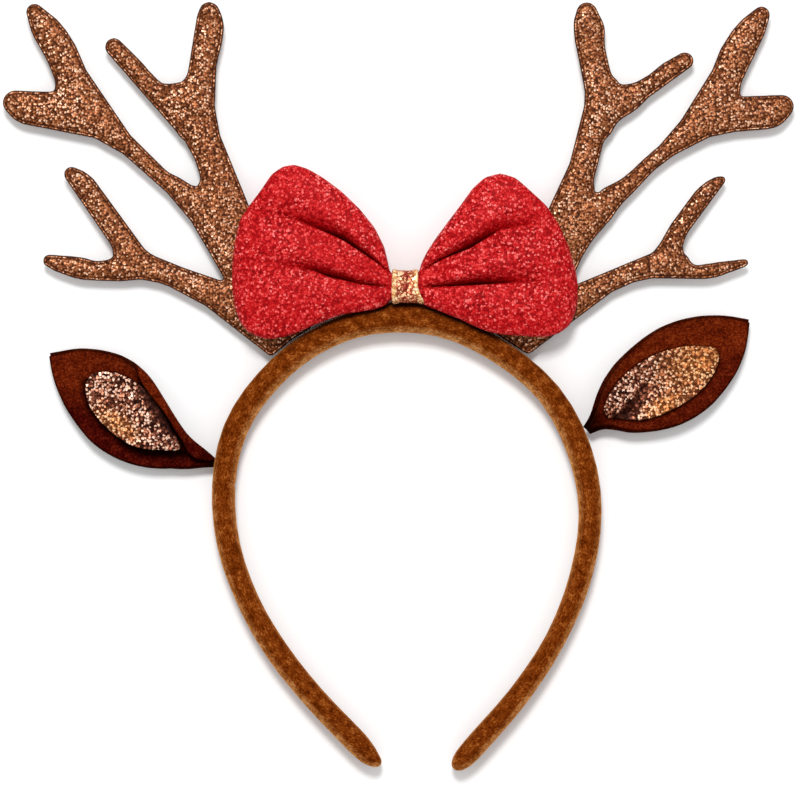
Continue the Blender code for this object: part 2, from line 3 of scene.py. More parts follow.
import bmesh
import bpy
import numpy as np
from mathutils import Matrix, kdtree


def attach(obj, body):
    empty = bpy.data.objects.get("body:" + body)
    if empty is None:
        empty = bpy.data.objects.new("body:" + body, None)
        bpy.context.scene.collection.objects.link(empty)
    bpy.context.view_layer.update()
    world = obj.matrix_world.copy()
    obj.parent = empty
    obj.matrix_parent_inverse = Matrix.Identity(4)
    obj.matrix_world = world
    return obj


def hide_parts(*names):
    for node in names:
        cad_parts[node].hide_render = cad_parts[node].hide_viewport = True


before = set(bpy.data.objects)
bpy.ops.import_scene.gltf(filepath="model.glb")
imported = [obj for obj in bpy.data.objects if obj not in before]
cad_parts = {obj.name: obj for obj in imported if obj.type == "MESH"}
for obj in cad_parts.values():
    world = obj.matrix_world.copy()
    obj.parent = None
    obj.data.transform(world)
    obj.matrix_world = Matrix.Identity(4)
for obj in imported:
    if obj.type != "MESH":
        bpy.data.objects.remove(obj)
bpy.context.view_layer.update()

MM = 0.001

# The headband lies on a white table top, seen from straight above through a long lens. A soft
# lamp beyond the antlers throws a short shadow towards the hoop's tips, and the room fills it in.
PHOTO_WIDTH = 288.0 * MM
VIEW_CENTRE = (0.6 * MM, -3.0 * MM)
VIEW_PLANE = 6.0 * MM
LENS_DISTANCE = 1.6
ROOM_STRENGTH = 0.72
KEY_PLACE = (-0.1, 1.0, 1.9)
KEY_SIZE = 0.5
KEY_POWER = 30.0
FLOOR_SIZE = 6.0
TABLE_WHITE = (0.93, 0.93, 0.93, 1.0)
ROOM_WHITE = (1.0, 1.0, 1.0, 1.0)
FARTHEST_SEEN = 20.0


def add_object(name, data):
    """A new object in the scene, at the origin."""
    made = bpy.data.objects.new(name, data)
    bpy.context.scene.collection.objects.link(made)
    return made


def new_finish(name):
    """A new material, its node tree and its shader."""
    finish = bpy.data.materials.new(name)
    finish.use_nodes = True
    return finish, finish.node_tree, finish.node_tree.nodes["Principled BSDF"]


camera = add_object("camera", bpy.data.cameras.new("camera"))
camera.location = (*VIEW_CENTRE, VIEW_PLANE + LENS_DISTANCE)
camera.data.lens = camera.data.sensor_width * LENS_DISTANCE / PHOTO_WIDTH
camera.data.clip_end = FARTHEST_SEEN
bpy.context.scene.camera = camera
bpy.context.scene.view_settings.view_transform = "Standard"

room = bpy.data.worlds.new("room")
room.use_nodes = True
room_light = room.node_tree.nodes["Background"]
room_light.inputs["Color"].default_value = ROOM_WHITE
room_light.inputs["Strength"].default_value = ROOM_STRENGTH
bpy.context.scene.world = room

key = add_object("key_lamp", bpy.data.lights.new("key_lamp", "AREA"))
key.data.size = KEY_SIZE
key.data.energy = KEY_POWER
key.location = KEY_PLACE
key.rotation_euler = key.location.to_track_quat("Z", "Y").to_euler()

floor_mesh = bmesh.new()
bmesh.ops.create_grid(floor_mesh, x_segments=1, y_segments=1, size=FLOOR_SIZE / 2)
floor_data = bpy.data.meshes.new("floor")
floor_mesh.to_mesh(floor_data)
floor_mesh.free()
floor = add_object("floor", floor_data)
floor_finish, _, floor_shader = new_finish("white_table")
floor_shader.inputs["Base Color"].default_value = TABLE_WHITE
floor_shader.inputs["Roughness"].default_value = 0.9
floor_shader.inputs["Specular IOR Level"].default_value = 0.1
floor_data.materials.append(floor_finish)


# The hoop is a springy core padded into a thick roll and wrapped in brown velour, with mottled
# pile and a paler sheen painted along the rims. The wrap has one small crease on the inner
# side, below the left ear, and is drawn in to a rounded end at both tips.
BAND_CELL = 0.8 * MM
BAND_SOFTENING = 6
CREASE_PLACE = (-64.0 * MM, -36.5 * MM)
CREASE_INNER_SIDE = (-62.0 * MM, -57.0 * MM)
CREASE_SLANT = 0.12
CREASE_HALF_WIDTH = 0.55 * MM
CREASE_DEPTH = 0.6 * MM
HOOP_MIDDLE = (2.4 * MM, -45.0 * MM)
HOOP_RADIUS = 70.0 * MM
FIBRE_STRETCH = 0.6
FIBRE_SCALE = 1.9
BRUSHED_SCALE = 330.0
FIBRE_SHARE = 0.55
BROWN_STOPS = (
    (0.37, (0.060, 0.009, 0.0006)),
    (0.46, (0.117, 0.020, 0.0016)),
    (0.54, (0.178, 0.035, 0.0031)),
    (0.64, (0.335, 0.100, 0.0180)),
)
# the paler colour of the sheen painted along the rims
PAINTED_SHEEN_STOPS = (
    (0.36, (0.230, 0.060, 0.0090)),
    (0.46, (0.390, 0.130, 0.0280)),
    (0.54, (0.580, 0.250, 0.0750)),
    (0.66, (0.780, 0.440, 0.1900)),
)
# how much sheen is painted on a point, and how much of the paler colour shows there
PAINTED_SHEEN_SHARE = ((0.24, 0.0), (0.46, 0.5), (0.68, 1.0))
# which way the rim faces, -1 towards the hoop's tips, and how strong the painted sheen is there
PAINTED_SHEEN_FACING = ((-0.6, 1.0), (0.0, 0.7), (0.5, 0.42))
# the same for the height, and for the way in from the outline, both in millimetres
PAINTED_SHEEN_BY_HEIGHT = ((0.0, 0.15), (3.0, 0.35), (5.5, 1.0))
PAINTED_SHEEN_INWARD = ((0.0, 0.6), (0.6, 0.5), (1.3, 0.4), (2.4, 0.2))
# a point is on the outline where its surface faces up or down by less than this
WALL_LEAN = 0.35
# the strength and depth of the bump, and the strength, spread and tint of the sheen
PILE_BUMP = (0.8, 0.4 * MM)
PILE_SHEEN = (0.25, 0.3, (1.0, 0.42, 0.10, 1.0))
HOOP_HALF_DEPTH = 6.0 * MM
HOOP_TIPS = (
    # where each tip is, and how far the wrap stands out past the core there
    (-6.6, -137.0, 0.4, -0.2),
    (20.6, -138.0, -0.9, -0.7),
)
TIP_LENGTH = 14.0 * MM
# from the tip in millimetres, and the share of the hoop's full depth there
TIP_TAPER = ((0.0, 0.45), (2.0, 0.6), (5.0, 0.8), (9.0, 0.93), (14.0, 1.0))
CROWN_MIDDLE = 2.3 * MM
CROWN_HALF_LENGTH = 16.0 * MM
CROWN_BULGE = 1.6 * MM
CROWN_RIM_DEPTH = 4.0 * MM
BOW_LOWER_EDGE = (
    # the bow's lower edge, which lies over the hoop; a shadow is painted on the hoop below it
    (-46.0, 16.0),
    (-32.4, 20.4),
    (-20.4, 25.2),
    (-8.4, 27.1),
    (-3.0, 29.2),
    (7.6, 29.2),
    (13.1, 27.1),
    (22.2, 23.5),
    (31.1, 19.3),
    (45.0, 15.0),
)
# out from the bow's edge in millimetres, and how bright the pile is under the painted shadow there
BOW_SHADE = ((0.0, 0.12), (0.6, 0.3), (1.8, 1.0))


def fine_copy(name, node, cell, softening):
    """The shape of a CAD solid in small even faces, softened. It is still in its place."""
    source = bmesh.new()
    source.from_mesh(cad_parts[node].data)
    bmesh.ops.remove_doubles(source, verts=source.verts[:], dist=1e-6)
    mesh = bpy.data.meshes.new(name)
    source.to_mesh(mesh)
    source.free()
    piece = add_object(name, mesh)
    even = piece.modifiers.new("even_faces", "REMESH")
    even.mode = "VOXEL"
    even.voxel_size = cell
    settled = bpy.context.evaluated_depsgraph_get()
    fine = bpy.data.meshes.new_from_object(piece.evaluated_get(settled))
    piece.modifiers.clear()
    work = bmesh.new()
    work.from_mesh(fine)
    for _ in range(softening):
        bmesh.ops.smooth_vert(
            work, verts=work.verts[:], factor=0.5, use_axis_x=True, use_axis_y=True, use_axis_z=True
        )
    work.to_mesh(mesh)
    work.free()
    mesh.materials.clear()
    mesh.shade_smooth()
    return piece


def points_of(piece):
    """The places of a piece's points, a row for each."""
    places = np.empty(len(piece.data.vertices) * 3)
    piece.data.vertices.foreach_get("co", places)
    return places.reshape(-1, 3)


def put_points(piece, places):
    """Moves a piece's points to new places."""
    piece.data.vertices.foreach_set("co", places.ravel())
    piece.data.update()


def add_attribute(piece, name, values):
    """Keeps a value for each point of a piece, which its finish reads by name."""
    attribute = piece.data.attributes.new(name, "FLOAT", "POINT")
    attribute.data.foreach_set("value", np.asarray(values, np.float32))


def settle(piece, finish, slot, *nodes):
    """Gives a piece its finish, puts it under the root body and hides the solids it stands for."""
    piece.data.materials.append(finish)
    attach(piece, "root")
    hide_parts(*nodes)


def add_node(tree, kind, inputs=None, **settings):
    """A node with its settings and inputs. An input that is another node's socket is linked."""
    node = tree.nodes.new("ShaderNode" + kind)
    for setting, value in settings.items():
        setattr(node, setting, value)
    for socket, value in (inputs or {}).items():
        if isinstance(value, bpy.types.NodeSocket):
            tree.links.new(value, node.inputs[socket])
        else:
            node.inputs[socket].default_value = value
    return node


def noise_of(tree, place, scale, detail):
    """Soft unevenness, which is finer where the scale is larger."""
    return add_node(tree, "TexNoise", {"Vector": place, "Scale": scale, "Detail": detail})


def mix_of(tree, share, first, second, kind="FLOAT"):
    """Two values or colours, mixed by the share of the second."""
    inputs = {"Factor": share, "A": first, "B": second}
    return add_node(tree, "Mix", inputs, data_type=kind).outputs["Result"]


def ramp_of(tree, value, stops):
    """A colour ramp with a stop for each pair of a place and a colour."""
    ramp = add_node(tree, "ValToRGB", {"Fac": value})
    while len(ramp.color_ramp.elements) < len(stops):
        ramp.color_ramp.elements.new(0.5)
    for element, (place, colour) in zip(ramp.color_ramp.elements, stops):
        element.position = place
        element.color = (*colour, 1.0)
    return ramp.outputs["Color"]


def attribute_of(tree, name):
    """An attribute of the piece, by its name."""
    return add_node(tree, "Attribute", attribute_name=name)


def level_of(tree, name, stops):
    """The level that a table gives for an attribute."""
    greys = [(at, (level,) * 3) for at, level in stops]
    return ramp_of(tree, attribute_of(tree, name).outputs["Fac"], greys)


def finish_pile(tree, shader, colour, shade, height, bump, sheen):
    """A dull cloth with a pile. Its colour is dimmed by an attribute, and its bump is a height."""
    dimming = attribute_of(tree, shade).outputs["Fac"]
    shaded = add_node(tree, "VectorMath", {0: colour, "Scale": dimming}, operation="SCALE")
    tree.links.new(shaded.outputs["Vector"], shader.inputs["Base Color"])
    strength, depth = bump
    raised = add_node(tree, "Bump", {"Strength": strength, "Distance": depth, "Height": height})
    tree.links.new(raised.outputs["Normal"], shader.inputs["Normal"])
    shader.inputs["Roughness"].default_value = 1.0
    shader.inputs["Specular IOR Level"].default_value = 0.0
    weight, spread, tint = sheen
    shader.inputs["Sheen Weight"].default_value = weight
    shader.inputs["Sheen Roughness"].default_value = spread
    shader.inputs["Sheen Tint"].default_value = tint


def velour():
    """Brushed pile whose fibres lie along the hoop, with a paler sheen painted along its rims."""
    finish, tree, shader = new_finish("brown_velour")
    place = add_node(tree, "TexCoord").outputs["Object"]
    brushed = noise_of(tree, place, BRUSHED_SCALE, 5.0).outputs["Fac"]
    lying = attribute_of(tree, "fibres").outputs["Vector"]
    pile = noise_of(tree, lying, FIBRE_SCALE, 3.0).outputs["Fac"]
    level = mix_of(tree, FIBRE_SHARE, brushed, pile)
    core = ramp_of(tree, level, BROWN_STOPS)
    pale = ramp_of(tree, level, PAINTED_SHEEN_STOPS)
    rim = level_of(tree, "painted_rim_sheen", PAINTED_SHEEN_SHARE)
    colour = mix_of(tree, rim, core, pale, kind="RGBA")
    finish_pile(tree, shader, colour, "bow_shade", level, PILE_BUMP, PILE_SHEEN)
    return finish


def directions_of(piece):
    """Which way a piece's surface faces at each of its points."""
    directions = np.empty(len(piece.data.vertices) * 3)
    piece.data.vertices.foreach_get("normal", directions)
    return directions.reshape(-1, 3)


def distance_to_lines(x, y, lines):
    """How far each place lies from the nearest of some straight lines, each with two ends."""
    nearest = np.full(np.shape(x), np.inf)
    for (ax, ay), (bx, by) in lines:
        dx, dy = bx - ax, by - ay
        along = np.clip(((x - ax) * dx + (y - ay) * dy) / (dx * dx + dy * dy), 0.0, 1.0)
        nearest = np.minimum(nearest, np.hypot(x - ax - along * dx, y - ay - along * dy))
    return nearest


def nearest_walls(piece):
    """How far each point lies in from a flat piece's outline, and which way the outline faces."""
    places, facing = points_of(piece), directions_of(piece)
    upright = abs(facing[:, 2]) < WALL_LEAN
    walls = kdtree.KDTree(int(upright.sum()))
    for index, (x, y, _) in enumerate(places[upright]):
        walls.insert((x, y, 0.0), index)
    walls.balance()
    found = [walls.find((x, y, 0.0)) for x, y, _ in places]
    nearest = [index for _, index, _ in found]
    return np.array([distance for _, _, distance in found]), facing[upright][nearest]


def read_off(table, where, unit=1.0):
    """What a table of two columns gives at each place, between its rows too."""
    at, value = np.array(table).T
    return np.interp(where, at * unit, value)


band = fine_copy("velour_band", "band", BAND_CELL, BAND_SOFTENING)
places = points_of(band)

# the crown bulges a little under the knot, and the padding is thinner at both tips
near_crown = np.exp(-(((places[:, 0] - CROWN_MIDDLE) / CROWN_HALF_LENGTH) ** 2))
crown_rim = places[:, 1].max() - CROWN_RIM_DEPTH
outer_share = np.clip((places[:, 1] - crown_rim) / CROWN_RIM_DEPTH, 0.0, 1.0)
places[:, 1] += CROWN_BULGE * near_crown * outer_share
for tip_x, tip_y, out_x, out_y in np.array(HOOP_TIPS) * MM:
    from_tip = np.hypot(places[:, 0] - tip_x, places[:, 1] - tip_y)
    thinner = read_off(TIP_TAPER, from_tip, MM)
    places[:, 2] = HOOP_HALF_DEPTH + (places[:, 2] - HOOP_HALF_DEPTH) * thinner
    near_tip = np.clip(1.0 - from_tip / TIP_LENGTH, 0.0, 1.0)
    places[:, :2] += near_tip[:, None] * (out_x, out_y)

# the crease pinches the wrap on its inner side
off_crease = places[:, 1] - CREASE_PLACE[1] - CREASE_SLANT * (places[:, 0] - CREASE_PLACE[0])
reach = np.interp(places[:, 0], CREASE_INNER_SIDE, (0.0, 1.0)) * (places[:, 0] < 0.0)
pinch = CREASE_DEPTH * np.exp(-((off_crease / CREASE_HALF_WIDTH) ** 2)) * reach
put_points(band, places - directions_of(band) * pinch[:, None])

# a paler sheen is painted along the rims, most of all where they face the hoop's tips
facing = directions_of(band)
painted_rim_sheen = (1.0 - abs(facing[:, 2])) * read_off(PAINTED_SHEEN_FACING, facing[:, 1])
inward, wall_facing = nearest_walls(band)
rim_sheen = read_off(PAINTED_SHEEN_FACING, wall_facing[:, 1])
painted_rim_sheen = np.maximum(painted_rim_sheen, rim_sheen * read_off(PAINTED_SHEEN_INWARD, inward, MM))
painted_rim_sheen *= read_off(PAINTED_SHEEN_BY_HEIGHT, places[:, 2], MM)
add_attribute(band, "painted_rim_sheen", painted_rim_sheen)

# a shadow of the bow is painted on the pile along the bow's lower edge
edge = np.array(BOW_LOWER_EDGE) * MM
below_bow = distance_to_lines(places[:, 0], places[:, 1], list(zip(edge, edge[1:])))
below_bow[places[:, 1] > np.interp(places[:, 0], edge[:, 0], edge[:, 1])] = 0.0
add_attribute(band, "bow_shade", read_off(BOW_SHADE, below_bow, MM))

# the fibres lie along the hoop, so their pattern follows it round
from_middle = places[:, :2] - HOOP_MIDDLE
fibres = band.data.attributes.new("fibres", "FLOAT_VECTOR", "POINT")
lengthwise = np.arctan2(from_middle[:, 0], from_middle[:, 1]) * HOOP_RADIUS * FIBRE_STRETCH
across = np.hypot(from_middle[:, 0], from_middle[:, 1])
laid = np.stack([lengthwise, across, places[:, 2]], axis=1) / MM
fibres.data.foreach_set("vector", laid.astype(np.float32).ravel())
settle(band, velour(), "velour", "band")


# Each antler is two layers of copper glitter cloth over thin padding, welded together along a
# line just inside the rim, so its face is a little pillowed and the rim stands free.
ANTLER_CELL = 0.42 * MM
ANTLER_SOFTENING = 9
ANTLER_MIDDLE = 5.5 * MM
ANTLER_EDGE_HALF = 0.8 * MM
# how steeply the solid's face rises inside its edge, and over what width
ANTLER_RISE = 0.95 / 1.7
ANTLER_SLOPE_WIDTH = 1.7 * MM
ANTLER_PROFILE = (
    # in from the edge, half the thickness there
    (0.0, 0.55),
    (0.25, 0.82),
    (0.5, 0.84),
    (0.8, 0.68),
    (1.1, 0.92),
    (1.8, 1.35),
    (3.0, 1.68),
    (5.0, 1.85),
    (8.0, 1.92),
)
# painted shade darkens the flakes in a line at the outline and in another along the weld
RIM_SHADE = (
    # in from the edge as a share of RIM_REACH, how bright the flakes are there
    (0.0, 0.05),
    (0.08, 0.12),
    (0.12, 1.0),
    (0.18, 1.0),
    (0.23, 0.3),
    (0.28, 0.35),
    (0.38, 0.97),
)
RIM_REACH = 4.0 * MM
# how often the hollow corners are rounded, and after how many rounds they are looked at again
CROTCH_ROUNDS = 60
ROUNDS_A_LOOK = 10
OUTLINE_NUDGES = {
    # a place on the outline, how far the cut of the cloth moves it right and up, and how far round
    "left": (
        (-76.8, 108.3, -1.0, 1.0, 3.0),
        (-84.7, 112.6, 0.0, -2.2, 5.0),
        (-101.4, 46.2, -1.6, 0.2, 3.0),
        (-108.6, 45.9, 0.0, -1.0, 4.0),
        (-122.4, 106.2, -1.2, 0.3, 3.0),
        (-70.8, 70.2, -1.8, 1.8, 3.0),
        (-75.0, 87.0, -1.4, 0.0, 4.0),
        (-63.8, 129.3, 0.8, 0.0, 6.0),
    ),
    "right": (
        (77.4, 107.9, 1.4, 1.3, 3.0),
        (72.0, 129.3, 1.6, 0.0, 5.0),
        (64.0, 129.3, -0.6, 0.0, 5.0),
        (79.8, 74.8, 0.5, -0.8, 6.0),
        (80.5, 93.5, -1.5, 1.5, 6.0),
        (74.0, 60.4, 1.0, -1.0, 6.0),
        (70.1, 69.4, 1.6, 0.5, 3.0),
        (101.6, 46.0, 1.9, 1.4, 3.0),
        (107.2, 44.5, 0.0, -1.3, 3.5),
        (121.8, 104.7, 1.2, 0.0, 3.0),
    ),
}
ANTLER_SEEDS = {"left": 11, "right": 12}
GLITTER_CRUST = 0.05 * MM
# how far out from its middle a flake fades, on cloth that lies flat and on cloth that bends
FLAT_FLAKE_EDGE = (0.34, 0.62)
BENT_FLAKE_EDGE = (0.42, 0.7)
FLAKE_RAGGED = 1.4
FLAKE_UNEVEN = 1.3
# how wide the patches of quieter and livelier flakes are, and how sharply they part
LIVELY_SCALE = 75.0
LIVELY_ENDS = (0.38, 0.62)
COPPER_STOPS = (
    (0.0, (0.032, 0.007, 0.002)),
    (0.25, (0.112, 0.028, 0.007)),
    (0.5, (0.232, 0.067, 0.020)),
    (0.72, (0.390, 0.132, 0.048)),
    (0.88, (0.640, 0.300, 0.155)),
    (1.0, (0.910, 0.610, 0.430)),
)


def map_of(tree, value, ends, new_ends):
    """A value moved from between two ends to between two others, and kept between them."""
    inputs = {"Value": value}
    inputs["From Min"], inputs["From Max"] = ends
    inputs["To Min"], inputs["To Max"] = new_ends
    return add_node(tree, "MapRange", inputs).outputs["Result"]


def glitter(
    name,
    flat,
    flake,
    ground,
    stops,
    tilt,
    metal,
    roughness,
    gloss,
    contrast,
    shade,
    shade_stops,
    other=None,
):
    """Glitter cloth: ragged flakes, each with a tilt and a brightness of its own.

    flat says that the cloth lies flat, so that its flakes are spread in one plane. ground is how
    dark the cloth is between them, and contrast how far their brightness spreads, in the quieter
    patches and in the livelier ones. shade is an attribute that dims the flakes by way of its
    stops, where shade is painted on them. other is an attribute and the stops of a second colour,
    which shows where it is 1.
    """
    finish, tree, shader = new_finish(name)
    place = add_node(tree, "TexCoord").outputs["Object"]
    uneven = noise_of(tree, place, FLAKE_UNEVEN / flake, 1.0)
    ragged = add_node(
        tree,
        "VectorMath",
        {0: uneven.outputs["Color"], 1: (FLAKE_RAGGED * flake,) * 3, 2: place},
        operation="MULTIPLY_ADD",
    )
    cells = add_node(
        tree,
        "TexVoronoi",
        {"Vector": ragged.outputs["Vector"], "Scale": 1.0 / flake},
        voronoi_dimensions="2D" if flat else "3D",
    )
    split = add_node(tree, "SeparateColor", {"Color": cells.outputs["Color"]})
    patches = noise_of(tree, place, LIVELY_SCALE, 3.0)
    spread = map_of(tree, patches.outputs["Fac"], LIVELY_ENDS, contrast)
    off_middle = add_node(tree, "Math", {0: split.outputs["Red"], 1: 0.5}, operation="SUBTRACT")
    level = add_node(
        tree,
        "Math",
        {0: off_middle.outputs["Value"], 1: spread, 2: 0.5},
        operation="MULTIPLY_ADD",
        use_clamp=True,
    ).outputs["Value"]
    fading = FLAT_FLAKE_EDGE if flat else BENT_FLAKE_EDGE
    roundness = map_of(tree, cells.outputs["Distance"], fading, (1.0 + ground / 2.0, 1.0 - ground))
    for factor in (roundness, level_of(tree, shade, shade_stops)):
        level = add_node(tree, "Math", {0: level, 1: factor}, operation="MULTIPLY").outputs["Value"]
    colour = ramp_of(tree, level, stops)
    if other:
        attribute, other_stops = other
        share = attribute_of(tree, attribute).outputs["Fac"]
        colour = mix_of(tree, share, colour, ramp_of(tree, level, other_stops), kind="RGBA")
    tree.links.new(colour, shader.inputs["Base Color"])
    centred = add_node(
        tree, "VectorMath", {0: cells.outputs["Color"], 1: (0.5, 0.5, 0.5)}, operation="SUBTRACT"
    )
    leaning = add_node(
        tree, "VectorMath", {0: centred.outputs["Vector"], "Scale": tilt}, operation="SCALE"
    )
    surface = add_node(tree, "NewGeometry").outputs["Normal"]
    leant = add_node(
        tree, "VectorMath", {0: surface, 1: leaning.outputs["Vector"]}, operation="ADD"
    )
    facing = add_node(tree, "VectorMath", {0: leant.outputs["Vector"]}, operation="NORMALIZE")
    tree.links.new(facing.outputs["Vector"], shader.inputs["Normal"])
    shader.inputs["Metallic"].default_value = metal
    shader.inputs["Roughness"].default_value = roughness
    shader.inputs["Specular IOR Level"].default_value = gloss
    return finish


def round_crotches(piece, rounds):
    """Rounds off the hollow corners of a flat piece's outline, and leaves its other corners."""
    places = points_of(piece)
    pairs = np.empty(len(piece.data.edges) * 2, np.int32)
    piece.data.edges.foreach_get("vertices", pairs)
    one, other = pairs.reshape(-1, 2).T
    neighbours = np.bincount(pairs, minlength=len(places))
    for turn in range(rounds):
        if turn % ROUNDS_A_LOOK == 0:
            put_points(piece, places)
            facing = directions_of(piece)[:, :2]
        move = np.zeros((len(places), 2))
        for axis in (0, 1):
            move[:, axis] = np.bincount(one, places[other, axis], len(places))
            move[:, axis] += np.bincount(other, places[one, axis], len(places))
        move = move / neighbours[:, None] - places[:, :2]
        hollow = (move * facing).sum(axis=1) > 0.0
        places[:, :2] += move * hollow[:, None] / 2
    put_points(piece, places)


def nudge_outline(piece, nudges):
    """Moves the outline of a flat piece a little round each place of a table."""
    places = points_of(piece)
    moved = places.copy()
    for x, y, right, up, reach in np.array(nudges) * MM:
        away = np.hypot(places[:, 0] - x, places[:, 1] - y)
        moved[:, :2] += np.exp(-((away / reach) ** 2))[:, None] * (right, up)
    put_points(piece, moved)


def make_antler(side):
    """An antler with its face pillowed inside the rim, under a crust of glitter."""
    antler = fine_copy("glitter_antler_" + side, "antler_" + side, ANTLER_CELL, ANTLER_SOFTENING)
    nudge_outline(antler, OUTLINE_NUDGES[side])
    round_crotches(antler, CROTCH_ROUNDS)
    places = points_of(antler)
    inward, _ = nearest_walls(antler)
    solid_half = ANTLER_EDGE_HALF + ANTLER_RISE * np.minimum(inward, ANTLER_SLOPE_WIDTH)
    share = np.clip((places[:, 2] - ANTLER_MIDDLE) / solid_half, -1.0, 1.0)
    half = read_off(np.array(ANTLER_PROFILE) * MM, inward)
    random = np.random.default_rng(ANTLER_SEEDS[side])
    crust = random.uniform(-1.0, 1.0, len(places)) * GLITTER_CRUST
    places[:, 2] = ANTLER_MIDDLE + share * (half + crust)
    put_points(antler, places)
    add_attribute(antler, "in_from_rim", inward / RIM_REACH)
    return antler


copper = glitter(
    "copper_glitter",
    flat=True,
    flake=0.85 * MM,
    ground=0.85,
    stops=COPPER_STOPS,
    tilt=0.5,
    metal=0.3,
    roughness=0.4,
    gloss=0.1,
    contrast=(0.42, 0.66),
    shade="in_from_rim",
    shade_stops=RIM_SHADE,
)
for side in ("left", "right"):
    antler = make_antler(side)
    settle(antler, copper, "antler_glitter", "antler_" + side)


# Each ear is one leaf of thick red-brown felt, cupped along its middle and pinched together
# where it is sewn to the hoop, with a leaf of copper glitter cloth glued inside the cup. The
# left ear's upper edge is rolled over the cup, and the right ear has one sharp crease in it.
FELT_THICK = 1.7 * MM
EAR_ROWS = 128
EAR_ROUNDING = 4
EAR_SMOOTHING = 20
# how far out and how far up the felt is, as shares: halfway to the lower rim and to the upper
# one, and at the upper rim where it is flat and where it is rolled
EAR_LOWER_HALFWAY = (0.55, 0.32)
EAR_UPPER_HALFWAY = (0.45, 0.2)
EAR_FLAT_RIM = (0.82, 0.62)
EAR_ROLLED_RIM = (1.0, 0.55)
EAR_LEAST_RUN = 0.02
EAR_FULL_ROLL = 2.0
EAR_UNDERSIDE = 2.6 * MM
EAR_SLANT_LENGTH = 12.0
# in from the cut edge in millimetres, and how bright the felt is there under the shade painted along
# the edge
CUT_EDGE_SHADE = ((0.0, 0.3), (0.3, 0.65), (0.6, 1.0))
# out from under the rolled edge in millimetres, and how bright the felt is there under the roll's
# painted shadow
UNDER_ROLL_SHADE = ((-1.0, 0.1), (0.8, 0.2), (2.4, 1.0))
# an edge rolled by less than the first counts as flat, and by more than the second as rolled
LEAST_ROLL = (1.0, 2.0)
ROLL_COLUMN = 5
# how bright the shadow painted round the patch leaves the felt at the patch's edge, and the darkest
# it makes it
PATCH_EDGE_SHADE = 0.12
FELT_DARKEST = 0.06
FELT_FIBRE_SCALE = 1400.0
FELT_MOTTLE_SCALE = 300.0
FELT_MOTTLE_SHARE = 0.35
FELT_BUMP = (0.7, 0.3 * MM)
FELT_SHEEN = (0.06, 0.4, (1.0, 0.35, 0.12, 1.0))
# how much of the lighter, warmer brown shows in the middle of the ear, and how far across and along
# it grows by 1
WARMTH_MIDDLE = 0.45
WARMTH_ACROSS = 14.0
WARMTH_ALONG = (30.0, 45.0)
PATCH_THICK = 0.8 * MM
PATCH_LIFT = 0.3 * MM
PATCH_PUFF = 0.7 * MM
PATCH_PUFF_CURVE = 0.6
PATCH_FULL_WIDTH = 10.0
PATCH_ROUNDING = 3
PATCH_COLUMNS = 48
PATCH_ROWS = 64
CREASE_STEP = 0.8
CREASE_RECOVERY = 5.0
CREASE_CURVE = 1.5
